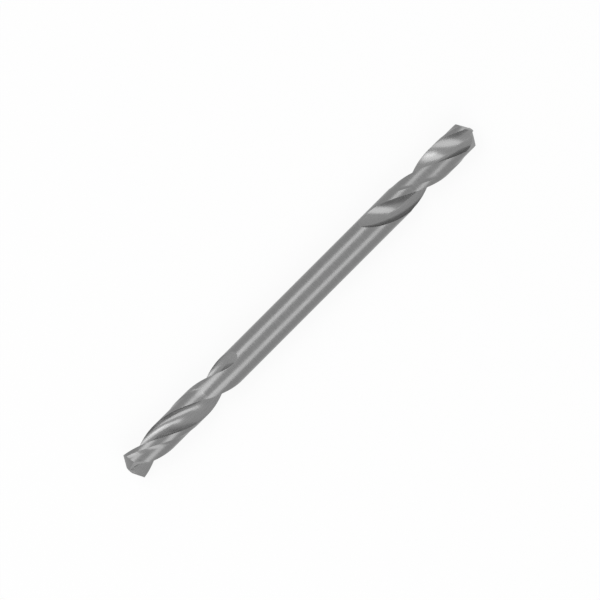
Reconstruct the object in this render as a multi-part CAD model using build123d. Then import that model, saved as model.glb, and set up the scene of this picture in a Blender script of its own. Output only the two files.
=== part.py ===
from build123d import *
import math
import os

# Double-ended stub drill bit, ground from one bar of high-speed steel.
#
# The drill lies along X with the middle of its length at the origin. Each end is
# shaped in a frame of its own: the very tip is at the origin, +Z runs out of the
# point, and the lips run along X. Seen from in front of the point, the drill cuts
# anticlockwise. Both ends are right-hand, so each is the same shape turned round,
# never mirrored.

# The bar
diameter = 3.2                      # across the outer corners of the lips
overall_length = 49.0
back_taper = 0.0005                 # narrowing of the diameter, per mm back from the lips
shank_setback = 0.3                 # from the end of a flute to the cylindrical shank

# Flutes, two right-hand helices at each end
lead = 19.4
right_flute_length = 12.0           # at full depth, from the tip
left_flute_length = 12.8
web_thickness = 0.8                 # core between the flutes at the point
web_growth = 0.2                    # thickening of the core up to the run-out
land_angle = 86.0                   # from the cutting corner back to the heel
runout_radius = 5.0                 # arc on which the wheel lifts out of a flute

# Body clearance, behind the narrow margin that guides the drill in its hole
margin_angle = 19.5
clearance_depth = 0.07
clearance_runout_radius = 24.0
right_clearance_length = 9.2
left_clearance_length = 10.5

# Point, whose two flanks are each part of a cone, as a point grinder leaves them
point_angle = 130.0
lip_relief = 10.0                   # fall of the flank behind the outer corner of the lip
grinding_cone_angle = 72.0
grinding_cone_reach = 3.5           # from the drill's axis to the tip of that cone

# Split, two notches that carry the cutting edges on to the centre
split_azimuth = 65.0                # from a lip to the bottom edge of its notch, seen from in front
split_slope = 35.0                  # between that bottom edge and the drill's axis
chisel_width = 0.14                 # left standing between the two notches

# Turn of each end about the drill's axis
right_turn = 150.2
left_turn = 120.2

radius = diameter / 2
half_web = web_thickness / 2
lip_slope = 1 / math.tan(math.radians(point_angle / 2))
overcut = 0.3                       # how far a cutter stands clear of the steel
section_turn = 7.0                  # turn of the helix between two sections of a cutter


def polar(r, angle):
    return Vector(r * math.cos(angle), r * math.sin(angle))


def lip_reach(r):
    """Distance along a lip, from beside the axis to radius r."""
    return math.sqrt(max(r * r - half_web * half_web, 0.0))


def wall_point(r):
    """Point at radius r on the section of the flute wall that makes the lip straight."""
    x = lip_reach(r)
    return polar(r, math.atan2(half_web, x) + math.tau * x * lip_slope / lead)


def spaced(start, end, step):
    """Evenly spaced values from start to end, no further apart than step."""
    count = math.ceil(abs(end - start) / step)
    return [start + (end - start) * i / count for i in range(count + 1)]


def arc_lift(run, arc_radius):
    """Height that a wheel gains on an arc, after that run along the drill."""
    return arc_radius - math.sqrt(arc_radius ** 2 - max(run, 0.0) ** 2)


def arc_run(lift, arc_radius):
    """Run along the drill in which the wheel gains that height."""
    return math.sqrt(arc_radius ** 2 - (arc_radius - lift) ** 2)


corner = wall_point(radius)
corner_angle = math.degrees(math.atan2(corner.Y, corner.X))
heel = polar(radius, math.radians(corner_angle + 180 - land_angle))

# The grinding cone is set ahead of the lip by what gives the flank its relief
cone_half = math.radians(grinding_cone_angle / 2)
cone_tilt = math.radians(point_angle / 2) - cone_half
lip_azimuth = math.asin(half_web / radius)
fall = (math.tan(math.radians(lip_relief)) - lip_slope * math.sin(lip_azimuth)) / math.cos(lip_azimuth)
cone_offset = half_web + fall * (grinding_cone_reach + lip_reach(radius)) * math.tan(cone_half)


def cone_tip_height():
    """Height of the cone's own tip at which its side passes through the tip of the drill."""
    a = math.cos(cone_tilt) ** 2 - math.cos(cone_half) ** 2
    b = grinding_cone_reach * math.sin(cone_tilt) * math.cos(cone_tilt)
    span = grinding_cone_reach ** 2 + cone_offset ** 2
    c = (grinding_cone_reach * math.sin(cone_tilt)) ** 2 - span * math.cos(cone_half) ** 2
    return (math.sqrt(b * b - a * c) - b) / a


# Height at which the two straight lips would meet, a little above the tip itself
lips_meet = cone_tip_height() - grinding_cone_reach * lip_slope


def helical(section, z):
    """A section of a cutter at height z, turned as the helix has turned there."""
    return Pos(0, 0, z) * Rot(0, 0, 360 * (z - lips_meet) / lead) * section


def flute_section():
    """Section of the flute wheel, from outside the bar over the heel, round the core and up the wall."""
    wall = [wall_point(r) for r in spaced(half_web, radius + overcut, radius / 5)]
    heel_arc = TangentArc(wall[0], heel, tangent=(-1, 0))
    out = heel_arc % 1
    outside = heel + out * ((wall[-1].Y - heel.Y) / out.Y)
    clear = 2 * diameter
    top = Polyline(wall[-1], (wall[-1].X, clear), (outside.X, clear), outside)
    return make_face([Line(outside, heel), heel_arc, Spline(wall), top])


def flute_cutter(length):
    """What one flute wheel sweeps: along the helix while the core thickens, then out on an arc."""
    growth = web_growth / 2
    runout = arc_run(radius - half_web - growth + overcut / 2, runout_radius)
    step = lead * section_turn / 360
    section = flute_section()
    sections = [helical(Pos(0, -growth * z / length, 0) * section, z) for z in spaced(overcut, -length, step)]
    for run in spaced(0.0, runout, step / 2)[1:]:
        lift = growth + arc_lift(run, runout_radius)
        sections.append(helical(Pos(0, lift, 0) * section, -length - run))
    return loft(sections)


def clearance_section(lift):
    """Section of the body clearance, from behind the margin to past the heel."""
    inner, outer = radius - clearance_depth + lift, radius + overcut
    start = math.radians(corner_angle - margin_angle)
    end = math.radians(corner_angle - land_angle - margin_angle)
    middle = (start + end) / 2
    outline = [
        Line(polar(inner, start), polar(outer, start)),
        ThreePointArc(polar(outer, start), polar(outer, middle), polar(outer, end)),
        Line(polar(outer, end), polar(inner, end)),
        ThreePointArc(polar(inner, end), polar(inner, middle), polar(inner, start)),
    ]
    return make_face(outline)


def clearance_cutter(length):
    """The relief ground off one land, which comes out of the bar on a flat arc."""
    runout = arc_run(clearance_depth + overcut / 2, clearance_runout_radius)
    full = length - arc_run(clearance_depth, clearance_runout_radius)
    step = lead * section_turn / 360
    sections = [helical(clearance_section(0.0), z) for z in spaced(overcut, -full, step)]
    for run in spaced(0.0, runout, step)[1:]:
        sections.append(helical(clearance_section(arc_lift(run, clearance_runout_radius)), -full - run))
    return loft(sections)


def flank_cutter():
    """All that stands outside the grinding cone, down to well below the flank."""
    tip = (-grinding_cone_reach, cone_offset, cone_tip_height())
    height = 4 * (grinding_cone_reach + diameter)
    cone = Cone(height * math.tan(cone_half), 0, height, align=(Align.CENTER, Align.CENTER, Align.MAX))
    cone = Pos(*tip) * Rot(0, -math.degrees(cone_tilt), 0) * cone
    slab = Box(2 * diameter, 2 * diameter, radius + 1, align=(Align.CENTER, Align.CENTER, Align.MIN))
    return Pos(0, 0, -radius) * slab - cone


def split_cutter():
    """Square corner of the splitting wheel, whose edge runs down from beside the centre."""
    size = 3 * diameter
    corner_block = Box(2 * size, size, size, align=(Align.CENTER, Align.MIN, Align.MIN))
    tilted = Rot(0, 90 - split_slope, 0) * corner_block
    return Rot(0, 0, split_azimuth) * Pos(0, chisel_width / 2, 0) * tilted


def ground_end(flute_length, clearance_length):
    """Every cutter that shapes one end, tip at the origin."""
    one_side = [
        flute_cutter(flute_length),
        clearance_cutter(clearance_length),
        flank_cutter(),
        split_cutter(),
    ]
    return one_side + [Rot(0, 0, 180) * cutter for cutter in one_side]


def body_reach(flute_length):
    """How far the body at one end goes back from the tip, to where the shank takes over."""
    return flute_length + arc_run(radius - half_web - web_growth / 2, runout_radius) + shank_setback


def drill_bit():
    right = Pos(overall_length / 2, 0, 0) * Rot(right_turn, 0, 0) * Rot(0, 90, 0)
    left = Pos(-overall_length / 2, 0, 0) * Rot(left_turn, 0, 0) * Rot(0, -90, 0)
    right_body = body_reach(right_flute_length)
    left_body = body_reach(left_flute_length)

    # Both bodies taper back from the lips to the shank, which is a true cylinder
    shank_radius = radius - back_taper / 2 * max(right_body, left_body)
    bar = Pos((left_body - right_body) / 2, 0, 0) * Rot(0, 90, 0) * Cylinder(
        shank_radius, overall_length - right_body - left_body
    )
    for end, reach in ((right, right_body), (left, left_body)):
        bar += end * Cone(shank_radius, radius, reach, align=(Align.CENTER, Align.CENTER, Align.MAX))

    cutters = [right * cutter for cutter in ground_end(right_flute_length, right_clearance_length)]
    cutters += [left * cutter for cutter in ground_end(left_flute_length, left_clearance_length)]
    for cutter in cutters:
        bar -= cutter
    return bar


os.makedirs("parts", exist_ok=True)
export_step(drill_bit(), "parts/drill_bit.step")
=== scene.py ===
# %% [markdown]
# # A double-ended stub drill bit
#
# This lesson builds the look of a short twist drill that has a cutting point at each
# end. A grinder starts from a plain steel bar and takes metal away with four kinds of
# wheel, and the script does the same: it makes one bar, then one solid for what each
# wheel sweeps, and subtracts them. Every surface then meets its neighbour in a true
# edge, and each wheel can leave its own finish behind.

# %% The frame that the drill is built in
import math

import bmesh
import bpy
from mathutils import Matrix, Vector


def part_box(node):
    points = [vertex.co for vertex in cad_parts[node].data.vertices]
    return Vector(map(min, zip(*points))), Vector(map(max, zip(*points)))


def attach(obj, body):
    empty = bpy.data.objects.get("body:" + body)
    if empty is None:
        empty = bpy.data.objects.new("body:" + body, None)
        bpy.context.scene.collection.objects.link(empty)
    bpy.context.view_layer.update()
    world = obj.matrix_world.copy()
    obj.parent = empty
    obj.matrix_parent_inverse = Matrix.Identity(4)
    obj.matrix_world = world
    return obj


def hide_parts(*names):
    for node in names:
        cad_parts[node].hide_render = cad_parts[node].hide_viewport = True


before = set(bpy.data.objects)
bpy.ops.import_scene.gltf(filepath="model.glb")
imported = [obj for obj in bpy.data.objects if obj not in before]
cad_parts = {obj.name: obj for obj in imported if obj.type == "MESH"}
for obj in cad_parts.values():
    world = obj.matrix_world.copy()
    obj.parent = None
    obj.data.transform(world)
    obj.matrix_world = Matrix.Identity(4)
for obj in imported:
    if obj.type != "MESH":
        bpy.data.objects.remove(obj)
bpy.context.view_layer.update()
NODE = "drill_bit"
MM = 0.001
low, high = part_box(NODE)
print("nodes in the frame:", len(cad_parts))
print("CAD box in mm:", [round(side / MM, 3) for side in high - low])

# %% [markdown]
# ## One end, in a frame of its own
#
# The script works in millimetres and degrees, which keeps the merge distances of
# Blender's operators far from the sizes that matter on a 3 mm part. Each end is shaped
# in a frame of its own: its tip is at the origin, +Z runs out of the point and the two
# lips run along X. The lips don't pass through the axis. They lie on either side of a
# core, the web, and slope down from it to the corners.
#
# The flute wall that ends in a lip is not free. The lip is straight, and the helix turns
# while the lip slopes down, so the wall's section has to curve by just that turn.

# %% The bar, the helix and the lips, in millimetres and degrees
LENGTH = 49.0
RADIUS = 1.6
LEAD = 19.4
HALF_WEB = 0.4
POINT_ANGLE = 130.0
LIP_SLOPE = 1 / math.tan(math.radians(POINT_ANGLE / 2))


def lip_reach(r):
    """Distance along a lip, from beside the axis to radius r."""
    return math.sqrt(max(r * r - HALF_WEB * HALF_WEB, 0.0))


def rake_point(r):
    """Point at radius r on the flute wall, curved so that the ground lip comes out straight."""
    x = lip_reach(r)
    angle = math.atan2(HALF_WEB, x) + math.tau * x * LIP_SLOPE / LEAD
    return Vector((r * math.cos(angle), r * math.sin(angle), 0))


corner = rake_point(RADIUS)
corner_angle = math.atan2(corner.y, corner.x)
print("outer corner of the lip at", round(math.degrees(corner_angle), 2), "degrees")

# %% [markdown]
# ## The point's grinding cone
#
# A point grinder swings the drill in a cone, so each flank is a piece of a cone whose
# own tip stands beside the drill. Where that cone sits decides how fast the flank falls
# away behind the lip. Its place is worked out here once, because the helix is counted
# from the height at which the two lips would meet.

# %% Where the grinding cone sits
LIP_RELIEF = 10.0
GRINDING_CONE_ANGLE = 72.0
GRINDING_CONE_REACH = 3.5

cone_half = math.radians(GRINDING_CONE_ANGLE / 2)
cone_tilt = math.radians(POINT_ANGLE / 2) - cone_half
lip_azimuth = math.asin(HALF_WEB / RADIUS)
relief_slope = math.tan(math.radians(LIP_RELIEF))
flank_fall = (relief_slope - LIP_SLOPE * math.sin(lip_azimuth)) / math.cos(lip_azimuth)
lip_end = GRINDING_CONE_REACH + lip_reach(RADIUS)
cone_offset = HALF_WEB + flank_fall * lip_end * math.tan(cone_half)


def cone_tip_height():
    """Height of the cone's own tip at which its side passes through the tip of the drill."""
    a = math.cos(cone_tilt) ** 2 - math.cos(cone_half) ** 2
    b = GRINDING_CONE_REACH * math.sin(cone_tilt) * math.cos(cone_tilt)
    span = GRINDING_CONE_REACH ** 2 + cone_offset ** 2
    c = (GRINDING_CONE_REACH * math.sin(cone_tilt)) ** 2 - span * math.cos(cone_half) ** 2
    return (math.sqrt(b * b - a * c) - b) / a


cone_height = cone_tip_height()
lips_meet = cone_height - GRINDING_CONE_REACH * LIP_SLOPE
print("lips would meet", round(lips_meet, 3), "mm above the tip")

# %% [markdown]
# ## Sweeping a wheel along a helix
#
# A flute is what a shaped wheel leaves when the bar turns and travels under it. Blender
# could do that with the Screw modifier, but the wheel also lifts out of the steel at
# the end of the cut. So the section is extruded ring by ring, and each new ring is
# moved by the one matrix that takes the last station to the next.


# %% One station of a sweep, and the sweep itself
def station(z, lift=0.0, scale=1.0):
    """The place of a section at height z: turned with the helix, then raised or widened."""
    turned = Matrix.Rotation(math.tau * (z - lips_meet) / LEAD, 4, "Z")
    place = Matrix.Translation((0, 0, z)) @ turned
    return place @ Matrix.Translation((0, lift, 0)) @ Matrix.Diagonal((scale, scale, 1, 1))


def spaced(start, end, step):
    """Evenly spaced values from start to end, no further apart than step."""
    count = math.ceil(abs(end - start) / step)
    return [start + (end - start) * i / count for i in range(count + 1)]


def sweep(outline, stations):
    """A closed solid: the outline, extruded from station to station and capped at both ends."""
    bm = bmesh.new()
    ring = [bm.verts.new(stations[0] @ point) for point in outline]
    edges = [bm.edges.new(pair) for pair in zip(ring, ring[1:] + ring[:1])]
    ends = [edges]
    for last, here in zip(stations, stations[1:]):
        grown = bmesh.ops.extrude_edge_only(bm, edges=edges)["geom"]
        fresh = [v for v in grown if isinstance(v, bmesh.types.BMVert)]
        new_edges = [e for e in grown if isinstance(e, bmesh.types.BMEdge)]
        edges = [e for e in new_edges if all(v in fresh for v in e.verts)]
        bmesh.ops.transform(bm, matrix=here @ last.inverted(), verts=fresh)
    ends.append(edges)
    for end in ends:
        bmesh.ops.contextual_create(bm, geom=end)
    bmesh.ops.recalc_face_normals(bm, faces=bm.faces)
    return bm


print("the helix turns", round(360 / LEAD, 2), "degrees in each millimetre")

# %% [markdown]
# ## The flute wheel's section
#
# One side of the wheel cuts the wall that was worked out above. The other side only has
# to carry chips away, so it is a plain arc that leaves the core level and meets the back
# of the land, the heel. From there the outline goes straight on in the arc's own
# direction until it is clear of the bar, and back over the top to the wall. Every
# cutter stands clear of the steel by the same overcut, so that no two faces coincide.

# %% The outline of the flute wheel
LAND_ANGLE = 86.0
OVERCUT = 0.3


def flute_outline(wall_points=34, arc_points=40):
    """From outside the bar over the heel, round the core, up the wall and back over the top."""
    reach = RADIUS + OVERCUT
    wall = [rake_point(r) for r in spaced(HALF_WEB, reach, (reach - HALF_WEB) / wall_points)]
    heel_angle = corner_angle + math.pi - math.radians(LAND_ANGLE)
    heel = Vector((RADIUS * math.cos(heel_angle), RADIUS * math.sin(heel_angle), 0))
    rise = heel.y - HALF_WEB
    arc_radius = (heel.x ** 2 + rise ** 2) / (2 * rise)
    centre = Vector((0, HALF_WEB + arc_radius, 0))
    turn = math.atan2(-heel.x, arc_radius - rise)
    arc = [
        centre + Matrix.Rotation(-t, 3, "Z") @ Vector((0, -arc_radius, 0))
        for t in spaced(turn, 0.0, turn / arc_points)
    ]
    clear = RADIUS + 2 * OVERCUT
    leave = Vector((-math.cos(turn), math.sin(turn), 0))
    outside = heel + leave * ((clear - heel.y) / leave.y)
    return [outside] + arc + wall[1:] + [Vector((wall[-1].x, clear, 0))]


print("flute outline has", len(flute_outline()), "points")

# %% [markdown]
# ## The path of the flute wheel
#
# The core of a drill thickens away from the point, which is a small steady lift of the
# wheel. At the end of the flute the wheel leaves the bar on an arc, and the arc's radius
# gives the run-out its long scooped end.

# %% What the flute wheel sweeps
FLUTE_LENGTH = {"right": 12.0, "left": 12.8}
WEB_GROWTH = 0.2
RUNOUT_RADIUS = 5.0


def arc_lift(run, arc_radius):
    """Height that a wheel gains on its way out, after that run along the drill."""
    return arc_radius - math.sqrt(arc_radius ** 2 - run ** 2)


def arc_run(lift, arc_radius):
    """Run along the drill in which the wheel gains that height."""
    return math.sqrt(arc_radius ** 2 - (arc_radius - lift) ** 2)


def flute_cutter(length, step=0.14):
    """The flute wheel's path: along the helix while the core thickens, then out on the arc."""
    growth = WEB_GROWTH / 2
    runout = arc_run(RADIUS - HALF_WEB - growth + OVERCUT / 2, RUNOUT_RADIUS)
    stations = [station(z, lift=-growth * z / length) for z in spaced(OVERCUT, -length, step)]
    for run in spaced(0.0, runout, step / 2)[1:]:
        stations.append(station(-length - run, lift=growth + arc_lift(run, RUNOUT_RADIUS)))
    return sweep(flute_outline(), stations)


bare_runout = arc_run(RADIUS - HALF_WEB - WEB_GROWTH / 2, RUNOUT_RADIUS)
print("a flute's run-out is", round(bare_runout, 2), "mm long")

# %% [markdown]
# ## The body clearance
#
# Only a narrow margin behind each lip's corner touches the hole. The land behind it is
# ground down by less than a tenth of a millimetre, and the wheel's worn corner leaves a
# small fillet there. Light shows that fillet as a soft line beside the margin, so the
# outline falls along a parabola before it follows the smaller radius.

# %% What the clearance wheel sweeps
CLEARANCE_LENGTH = {"right": 10.3, "left": 10.8}
MARGIN_ANGLE = 21.5
CLEARANCE_DEPTH = 0.09
CLEARANCE_FILLET = 15.0
CLEARANCE_RUNOUT_RADIUS = 4.0


def clearance_cutter(length, step=0.2, arc_points=60):
    """The ring of steel behind one margin, from the fillet to well past the heel."""
    inner, outer = RADIUS - CLEARANCE_DEPTH, RADIUS + OVERCUT
    fillet = math.radians(CLEARANCE_FILLET)
    start = corner_angle - math.radians(MARGIN_ANGLE)
    end = start - math.radians(LAND_ANGLE)
    ahead = start + fillet * (math.sqrt(OVERCUT / CLEARANCE_DEPTH) - 1)
    outline = []
    for t in spaced(ahead, end, (ahead - end) / arc_points):
        r = inner + CLEARANCE_DEPTH * max(0.0, 1 - (start - t) / fillet) ** 2
        outline.append(Vector((r * math.cos(t), r * math.sin(t), 0)))
    for t in spaced(end, ahead, (ahead - end) / arc_points):
        outline.append(Vector((outer * math.cos(t), outer * math.sin(t), 0)))
    full = length - arc_run(CLEARANCE_DEPTH, CLEARANCE_RUNOUT_RADIUS)
    runout = arc_run(CLEARANCE_DEPTH + OVERCUT / 2, CLEARANCE_RUNOUT_RADIUS)
    stations = [station(z) for z in spaced(OVERCUT, -full, step)]
    for run in spaced(0.0, runout, step)[1:]:
        widened = (inner + arc_lift(run, CLEARANCE_RUNOUT_RADIUS)) / inner
        stations.append(station(-full - run, scale=widened))
    return sweep(outline, stations)


margin_width = RADIUS * math.radians(MARGIN_ANGLE)
print("a margin is about", round(margin_width, 2), "mm wide")

# %% [markdown]
# ## Taking one solid out of another
#
# A Boolean modifier does what a wheel does. The exact solver is needed, because these
# solids meet at very flat angles, and it can hand the cutter's material to the faces
# that it makes. Each cut leaves a few points almost on top of each other. They are
# merged at once, or the next cut could fail on them.

# %% A mesh object, and one cut
MERGE_DISTANCE = 2e-5
SLIVER_LENGTH = 1e-5


def solid(name, bm, material=None, place=Matrix.Identity(4)):
    """A mesh object in millimetres, made from a bmesh that it uses up."""
    bmesh.ops.transform(bm, matrix=place, verts=bm.verts)
    mesh = bpy.data.meshes.new(name)
    bm.to_mesh(mesh)
    bm.free()
    mesh.materials.append(material)
    piece = bpy.data.objects.new(name, mesh)
    bpy.context.scene.collection.objects.link(piece)
    return piece


def clean_mesh(mesh, merge_distance, sliver_length):
    """Merges points that lie together, then dissolves what has collapsed."""
    bm = bmesh.new()
    bm.from_mesh(mesh)
    bmesh.ops.remove_doubles(bm, verts=bm.verts, dist=merge_distance)
    bmesh.ops.dissolve_degenerate(bm, dist=sliver_length, edges=bm.edges)
    bm.to_mesh(mesh)
    bm.free()


def subtract(target, cutter):
    """Cuts one solid out of target, whose new faces take the cutter's material."""
    modifier = target.modifiers.new("cut", "BOOLEAN")
    modifier.operation = "DIFFERENCE"
    modifier.solver = "EXACT"
    modifier.material_mode = "TRANSFER"
    modifier.object = cutter
    graph = bpy.context.evaluated_depsgraph_get()
    mesh = bpy.data.meshes.new_from_object(target.evaluated_get(graph), depsgraph=graph)
    target.modifiers.clear()
    clean_mesh(mesh, MERGE_DISTANCE, SLIVER_LENGTH)
    target.data = mesh
    bpy.data.objects.remove(cutter)


print("points closer than", MERGE_DISTANCE, "mm are merged after each cut")

# %% [markdown]
# ## The point wheel and the splitting wheel
#
# The point wheel takes away all that stands outside the grinding cone, so its solid is a
# block with a cone cut out of it. The splitting wheel has a square corner, and its edge
# runs down beside the centre: two such notches carry the cutting edge almost to the
# axis, so that the drill starts without wandering.

# %% What the point wheel and the splitting wheel take away
SPLIT_AZIMUTH = 65.0
SPLIT_SLOPE = 35.0
CHISEL_WIDTH = 0.14


def box_mesh(size, corner_at):
    """A block of that size, its lowest corner at corner_at."""
    bm = bmesh.new()
    bmesh.ops.create_cube(bm, size=1)
    bmesh.ops.scale(bm, vec=size, verts=bm.verts)
    bmesh.ops.translate(bm, vec=Vector(corner_at) + Vector(size) / 2, verts=bm.verts)
    return bm


def flank_cutter(segments=720):
    """A block round the tip, less the cone that the flank is part of."""
    height = 4 * (GRINDING_CONE_REACH + 2 * RADIUS)
    base_radius = height * math.tan(cone_half)
    bm = bmesh.new()
    bmesh.ops.create_cone(
        bm, cap_ends=True, segments=segments, radius1=base_radius, radius2=0, depth=height
    )
    bmesh.ops.translate(bm, vec=(0, 0, -height / 2), verts=bm.verts)
    bmesh.ops.remove_doubles(bm, verts=bm.verts, dist=SLIVER_LENGTH)
    tip = Matrix.Translation((-GRINDING_CONE_REACH, cone_offset, cone_height))
    cone = solid("cone", bm, None, tip @ Matrix.Rotation(-cone_tilt, 4, "Y"))
    side = 4 * RADIUS
    block = solid("block", box_mesh((side, side, RADIUS + 1), (-side / 2, -side / 2, -RADIUS)))
    subtract(block, cone)
    cut = bmesh.new()
    cut.from_mesh(block.data)
    bpy.data.objects.remove(block)
    return cut


def split_cutter():
    """The square corner of the splitting wheel, tilted along its notch."""
    size = 6 * RADIUS
    bm = box_mesh((2 * size, size, size), (-size, 0, 0))
    tilt = Matrix.Rotation(math.radians(90 - SPLIT_SLOPE), 4, "Y")
    beside = Matrix.Translation((0, CHISEL_WIDTH / 2, 0))
    facing = Matrix.Rotation(math.radians(SPLIT_AZIMUTH), 4, "Z")
    bmesh.ops.transform(bm, matrix=facing @ beside @ tilt, verts=bm.verts)
    return bm


print("the split leaves a chisel edge", CHISEL_WIDTH, "mm wide")

# %% [markdown]
# ## Shader maths as expressions
#
# A ground finish is a pattern that runs the way the wheel ran, so it needs some
# arithmetic on coordinates. Wiring Math nodes by hand hides the formula. The small class
# below wraps a socket, and each operator on it adds one node.


# %% A socket that can be used in an expression, and a material under construction
class Wire:
    def __init__(self, finish, socket):
        self.finish = finish
        self.socket = socket

    def math(self, operation, *values):
        inputs = dict(enumerate((self, *values)))
        return self.finish.node("ShaderNodeMath", {"operation": operation}, inputs)

    def __add__(self, other):
        return self.math("ADD", other)

    def __sub__(self, other):
        return self.math("SUBTRACT", other)

    def __mul__(self, other):
        return self.math("MULTIPLY", other)

    def __rsub__(self, other):
        return (self * -1.0) + other

    __radd__ = __add__
    __rmul__ = __mul__


class Finish:
    """A material under construction."""

    def __init__(self, name):
        self.material = bpy.data.materials.new(name)
        self.material.use_nodes = True
        self.tree = self.material.node_tree
        self.shader = self.tree.nodes["Principled BSDF"]

    def node(self, kind, settings=None, inputs=None, output=0):
        """Adds a node, sets what it is, then its sockets, and gives one output back as a Wire."""
        made = self.tree.nodes.new(kind)
        for name, value in (settings or {}).items():
            setattr(made, name, value)
        for key, value in (inputs or {}).items():
            self.put(made.inputs[key], value)
        return Wire(self, made.outputs[output])

    def put(self, socket, value):
        """Gives a socket a link or a plain value."""
        if isinstance(value, Wire):
            self.tree.links.new(value.socket, socket)
        else:
            socket.default_value = value

    def place(self):
        """Object coordinates in millimetres, as three Wires."""
        where = self.node("ShaderNodeTexCoord", output="Object")
        scaled = self.node(
            "ShaderNodeMapping", inputs={"Vector": where, "Scale": (1 / MM,) * 3}
        )
        split = self.tree.nodes.new("ShaderNodeSeparateXYZ")
        self.tree.links.new(scaled.socket, split.inputs[0])
        return [Wire(self, out) for out in split.outputs]

    def point(self, x, y, z):
        """Three numbers or Wires as one vector."""
        return self.node("ShaderNodeCombineXYZ", inputs={0: x, 1: y, 2: z})

    def noise(self, vector, scale, detail=2.0, roughness=0.5):
        """Perlin noise that is about 0.5 on average."""
        return self.node(
            "ShaderNodeTexNoise",
            inputs={"Vector": vector, "Scale": scale, "Detail": detail, "Roughness": roughness},
        )

    def between(self, factor, low_value, high_value, low_out, high_out):
        """Maps a factor from one range to another, and holds it at the ends."""
        return self.node(
            "ShaderNodeMapRange",
            inputs={
                "Value": factor,
                "From Min": low_value,
                "From Max": high_value,
                "To Min": low_out,
                "To Max": high_out,
            },
        )

    def grey(self, level):
        """A colour with the same value in each channel."""
        return self.node("ShaderNodeCombineColor", inputs={0: level, 1: level, 2: level})

    def bump(self, height, strength, distance):
        """A bumped normal, its height in metres times distance."""
        return self.node(
            "ShaderNodeBump", inputs={"Height": height, "Strength": strength, "Distance": distance}
        )


print("a Wire can be added, taken away and multiplied")

# %% [markdown]
# ## The ground finishes
#
# Grinding leaves fine scratches in the wheel's direction, and light spreads across
# them. On the shank they run round the bar, in a flute they follow the helix, and on
# the point they cross the flank. Each finish stretches the same noise a different way:
# squeezed along X it makes rings, and turned back by the helix it makes long streaks
# that stay in the flute.


# %% Three ways to stretch the noise
def rings(finish, x, y, z):
    """Marks round the drill."""
    return finish.point(x * 14.0, y * 1.1, z * 1.1)


def unwound(x, y, z):
    """Y and Z turned back by the helix, so that they stay the same along a flute."""
    angle = x * (math.tau / LEAD)
    cosine = angle.math("COSINE")
    sine = angle.math("SINE")
    return y * cosine + z * sine, z * cosine - y * sine


def along_flute(finish, x, y, z):
    """Marks that follow the helix."""
    across_y, across_z = unwound(x, y, z)
    return finish.point(x * 0.7, across_y * 12.0, across_z * 12.0)


def across_flank(finish, x, y, z):
    """Marks on the small ground faces of the point."""
    return finish.point(x * 4.0, y * 9.0, z * 9.0)


print("kinds of mark:", [marks.__name__ for marks in (rings, along_flute, across_flank)])

# %% [markdown]
# ## One steel, five finishes
#
# The drill is one steel. The flutes get a slightly lighter grey, the split's lighter grey is a
# painted highlight at the tip, and the darker grey of the point is painted shade on its flanks.
# The coordinates above drive three things at once: a slight change of tone, a change of
# roughness, and a bump of about a micrometre and a half. A second, broad noise lets the
# roughness drift, as it does on steel that has been handled. The flutes are a little
# less mirror-like than the shank, because they are left as a coarse wheel made them.

# %% The finishes, one for each wheel
STEEL = 0.205
MARK_RANGE = (0.3, 0.7)
MARK_ROUGHNESS = 0.05
WEAR_ROUGHNESS = 0.12


def ground(name, streaks, wear, base, roughness, depth, metallic=0.85):
    """Steel whose scratches follow a stretched coordinate.

    The wear is how often the broad noise repeats per millimetre, and the depth of a
    scratch is in millimetres.
    """
    finish = Finish(name)
    x, y, z = finish.place()
    fine = finish.noise(streaks(finish, x, y, z), 1.0, 3.0, 0.6)
    broad = finish.noise(finish.point(x, y, z), wear, 2.0)
    level = finish.between(fine, *MARK_RANGE, base * 0.93, base * 1.05)
    finish.put(finish.shader.inputs["Base Color"], finish.grey(level))
    finish.put(finish.shader.inputs["Metallic"], metallic)
    rough = finish.between(
        fine, *MARK_RANGE, roughness - MARK_ROUGHNESS, roughness + MARK_ROUGHNESS
    )
    rough = rough + (broad - 0.5) * WEAR_ROUGHNESS
    finish.put(finish.shader.inputs["Roughness"], rough)
    finish.put(finish.shader.inputs["Normal"], finish.bump(fine, 1.0, depth * MM))
    return finish.material


shank_finish = ground("ground shank", rings, 0.8, STEEL, 0.27, 0.0016)
flute_finish = ground("ground flute", along_flute, 1.2, 0.24, 0.27, 0.0018, metallic=0.7)
clearance_finish = ground("ground body clearance", rings, 1.0, STEEL, 0.32, 0.0018)
# The point's darker grey is painted shade on the flanks.
point_finish_painted_shade = ground("ground point painted shade", across_flank, 2.0, 0.21, 0.34, 0.0014)
# The split's lighter grey is a painted highlight at the tip.
split_finish_painted_highlight = ground("ground split painted highlight", across_flank, 2.0, 0.29, 0.30, 0.0014)
print("finishes:", [made.name for made in bpy.data.materials if made.name.startswith("ground")])

# %% [markdown]
# ## The bar
#
# A drill is widest at its corners and narrows a little towards the shank, so that it
# doesn't rub in its hole. The bar is therefore one circle of many sides, swept through
# four stations: a cylinder in the middle and a very slight cone at each end.

# %% The bar that the drill is ground from
BACK_TAPER = 0.0005
SHANK_SETBACK = 0.3


def bar(segments=288):
    """The bar on end: a cylindrical shank between two bodies that widen to their tips."""
    bodies = {side: length + bare_runout + SHANK_SETBACK for side, length in FLUTE_LENGTH.items()}
    narrow = 1 - BACK_TAPER / 2 * max(bodies.values()) / RADIUS
    print("shank radius", round(RADIUS * narrow, 4), "mm")
    circle = [
        Vector((RADIUS * math.cos(t), RADIUS * math.sin(t), 0))
        for t in spaced(0, math.tau, math.tau / segments)
    ]
    places = [
        (-LENGTH / 2, 1.0),
        (bodies["left"] - LENGTH / 2, narrow),
        (LENGTH / 2 - bodies["right"], narrow),
        (LENGTH / 2, 1.0),
    ]
    stations = [
        Matrix.Translation((0, 0, z)) @ Matrix.Diagonal((width, width, 1, 1))
        for z, width in places
    ]
    return sweep(circle[1:], stations)


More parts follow.
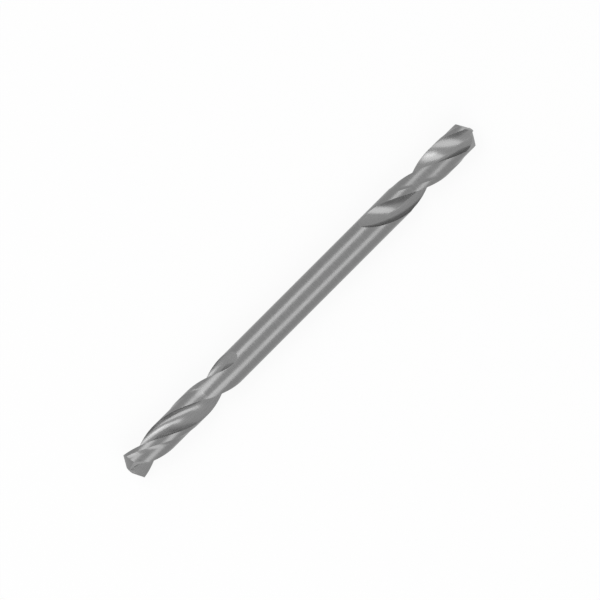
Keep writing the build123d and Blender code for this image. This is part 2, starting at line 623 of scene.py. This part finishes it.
lying = Matrix.Rotation(math.radians(90), 4, "Y")
drill = solid(NODE + "_ground", bar(), shank_finish, lying)
print("the bar has", len(drill.data.polygons), "faces")

# %% [markdown]
# ## Grinding the drill
#
# Each end's cutters are made once, copied half a turn round, and brought to their end by
# one matrix. Both ends turn the same way, so neither is a mirror image of the other. The
# order matters to the exact solver: the simple cuts at the tip come first, and the
# flutes, whose long edges everything else would have to split, come last.

# %% The sixteen cuts
TURN = {"right": 150.2, "left": 120.2}


def end_place(side):
    """From an end's own frame to the drill's."""
    way = 1 if side == "right" else -1
    turned = Matrix.Rotation(math.radians(TURN[side]), 4, "X")
    pointed = Matrix.Rotation(math.radians(way * 90), 4, "Y")
    return Matrix.Translation((way * LENGTH / 2, 0, 0)) @ turned @ pointed


half_turn = Matrix.Rotation(math.pi, 4, "Z")
for side in ("right", "left"):
    wheels = [
        (flank_cutter(), point_finish_painted_shade),
        (split_cutter(), split_finish_painted_highlight),
        (clearance_cutter(CLEARANCE_LENGTH[side]), clearance_finish),
        (flute_cutter(FLUTE_LENGTH[side]), flute_finish),
    ]
    for made, finish in wheels:
        for turn in (Matrix.Identity(4), half_turn):
            subtract(drill, solid("cutter", made.copy(), finish, end_place(side) @ turn))
        made.free()
    print(side, "end ground:", len(drill.data.polygons), "faces")

# %% [markdown]
# The drill is now brought to metres, and shaded smooth except across its ground edges.
# It replaces the plain solid, which stays hidden and still holds the part's collision.
# It is attached to the root body in place of the plain solid, which stays hidden.

# %% To metres, smooth between edges, and into the frame
LAST_MERGE_DISTANCE = 4e-4
SHARP_EDGE_ANGLE = 22

clean_mesh(drill.data, LAST_MERGE_DISTANCE, LAST_MERGE_DISTANCE)
drill.data.transform(Matrix.Scale(MM, 4))
drill.data.shade_smooth()
drill.data.set_sharp_from_angle(angle=math.radians(SHARP_EDGE_ANGLE))
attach(drill, "root")
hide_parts(NODE)
print("drill box in mm:", [round(side / MM, 3) for side in drill.dimensions])

# %% [markdown]
# ## The floor
#
# The drill lies on a pale floor. What looks at the floor, straight or in a reflection,
# should see it nearly white, but more light would wash out the steel. So the floor's
# material glows only for the rays that look at it, and the small share of plain paint
# that is left still takes the drill's shadow.


# %% A pale floor under the drill
def is_seen(tree):
    """1 for camera, glossy and transmission rays."""
    path = tree.nodes.new("ShaderNodeLightPath")
    total = path.outputs["Is Camera Ray"]
    for name in ("Is Glossy Ray", "Is Transmission Ray"):
        either = tree.nodes.new("ShaderNodeMath")
        either.operation = "MAXIMUM"
        tree.links.new(total, either.inputs[0])
        tree.links.new(path.outputs[name], either.inputs[1])
        total = either.outputs[0]
    return total


FLOOR_GLOW = 0.9
FLOOR_GREY = 0.86
FLOOR_HALF_SIZE = 3.0

floor_finish = bpy.data.materials.new("pale floor")
floor_finish.use_nodes = True
tree = floor_finish.node_tree
paint = tree.nodes["Principled BSDF"]
paint.inputs["Base Color"].default_value = (FLOOR_GREY, FLOOR_GREY, FLOOR_GREY, 1)
paint.inputs["Roughness"].default_value = 0.9
paint.inputs["Specular IOR Level"].default_value = 0.1
glow = tree.nodes.new("ShaderNodeEmission")
share = tree.nodes.new("ShaderNodeMath")
share.operation = "MULTIPLY"
share.inputs[1].default_value = FLOOR_GLOW
tree.links.new(is_seen(tree), share.inputs[0])
mix = tree.nodes.new("ShaderNodeMixShader")
tree.links.new(share.outputs[0], mix.inputs[0])
tree.links.new(paint.outputs[0], mix.inputs[1])
tree.links.new(glow.outputs[0], mix.inputs[2])
tree.links.new(mix.outputs[0], tree.nodes["Material Output"].inputs[0])

bm = bmesh.new()
bmesh.ops.create_grid(bm, x_segments=1, y_segments=1, size=FLOOR_HALF_SIZE)
bmesh.ops.translate(bm, vec=(0, 0, low.z), verts=bm.verts)
floor = solid("floor", bm, floor_finish)
print("floor at", round(low.z / MM, 3), "mm")

# %% [markdown]
# ## The world
#
# Polished steel shows what is round it, so the world is full white to the eye and in a
# reflection. As a light it is much weaker, and leaves room for the soft boxes.

# %% The world, white to the eye and softer as a light
FILL_LEVEL = 0.45

world = bpy.data.worlds.new("studio")
bpy.context.scene.world = world
world.use_nodes = True
tree = world.node_tree
seen = tree.nodes["Background"]
seen.inputs["Color"].default_value = (1, 1, 1, 1)
fill = tree.nodes.new("ShaderNodeBackground")
fill.inputs["Color"].default_value = (1, 1, 1, 1)
fill.inputs["Strength"].default_value = FILL_LEVEL
mix = tree.nodes.new("ShaderNodeMixShader")
tree.links.new(is_seen(tree), mix.inputs[0])
tree.links.new(fill.outputs[0], mix.inputs[1])
tree.links.new(seen.outputs[0], mix.inputs[2])
tree.links.new(mix.outputs[0], tree.nodes["World Output"].inputs[0])
print("the world lights at", FILL_LEVEL)

# %% [markdown]
# ## The soft boxes
#
# A satin bar shows each lamp as a pale band along its length. A wide soft box on either
# side makes the two bands, and the gap between them, where the camera looks down, makes
# the darker one. The third box is small and stands towards the left end. The shank
# never shows it, but the flutes do, and it gives them their bright spots.
#
# A box is placed by the angles at which the drill sees it. It stands far off against
# the drill's length, so that both ends show it in the same place. Its glow is counted
# in the brightness of the white world, and the lamp's power follows from that and from
# the box's area.

# %% Three soft boxes
BOX_DISTANCE = 0.80


def soft_box(name, bearing, tilt, half_along, half_across, glow_level):
    """An area light, placed and sized in degrees, and seen only in reflections.

    The bearing is counted from +X towards +Y, and the tilt from straight overhead.
    """
    bearing, tilt = math.radians(bearing), math.radians(tilt)
    outward = Vector(
        (math.cos(bearing) * math.sin(tilt), math.sin(bearing) * math.sin(tilt), math.cos(tilt))
    )
    along_drill = (Vector((1, 0, 0)) - outward * outward.x).normalized()
    light = bpy.data.lights.new(name, "AREA")
    light.shape = "ELLIPSE"
    light.size = 2 * BOX_DISTANCE * math.tan(math.radians(half_along))
    light.size_y = 2 * BOX_DISTANCE * math.tan(math.radians(half_across))
    light.energy = glow_level * math.pi * math.pi / 4 * light.size * light.size_y
    lamp = bpy.data.objects.new(name, light)
    facing = Matrix((along_drill, outward.cross(along_drill), outward)).transposed().to_4x4()
    lamp.matrix_world = Matrix.Translation(outward * BOX_DISTANCE) @ facing
    lamp.visible_camera = False
    bpy.context.scene.collection.objects.link(lamp)
    print(name, "is", round(light.size, 2), "by", round(light.size_y, 2), "m")


soft_box("upper_left_box", 112, 44.5, 27, 21.5, 1.95)
soft_box("lower_left_box", 235, 49, 38, 24, 1.7)
soft_box("far_left_box", 145, 39, 14, 14, 2.2)

# %% [markdown]
# ## The camera
#
# The photograph looks almost straight down on a drill that lies from lower left to
# upper right. The drill's left end stands a few degrees nearer, so the camera leans by
# that angle. A long lens from far away keeps both ends the same size.

# %% The camera, from the drill's own axes
FRAME_WIDTH = 60.54
LEAN = math.radians(5.0)
DISTANCE = 900.0
PICTURE = 600
SHIFT_RIGHT, SHIFT_UP = -0.84, -0.5

camera = bpy.data.cameras.new("camera")
camera.sensor_width = 36.0
camera.lens = camera.sensor_width * DISTANCE / FRAME_WIDTH
camera.clip_start = 0.01
eye = bpy.data.objects.new("camera", camera)
along = Vector((math.cos(LEAN), 0, math.sin(LEAN)))
across = Vector((0, 1, 0))
back = Vector((-math.sin(LEAN), 0, math.cos(LEAN)))
right_hand = (along - across).normalized()
up = (along + across).normalized()
pixel = FRAME_WIDTH / PICTURE
aim = right_hand * (SHIFT_RIGHT * pixel) + up * (SHIFT_UP * pixel)
turn = Matrix((right_hand, up, back)).transposed().to_4x4()
eye.matrix_world = Matrix.Translation((aim + back * DISTANCE) * MM) @ turn
bpy.context.scene.collection.objects.link(eye)
bpy.context.scene.camera = eye
bpy.context.scene.view_settings.view_transform = "Standard"
print("lens", round(camera.lens, 1), "mm, one pixel is", round(pixel, 4), "mm")
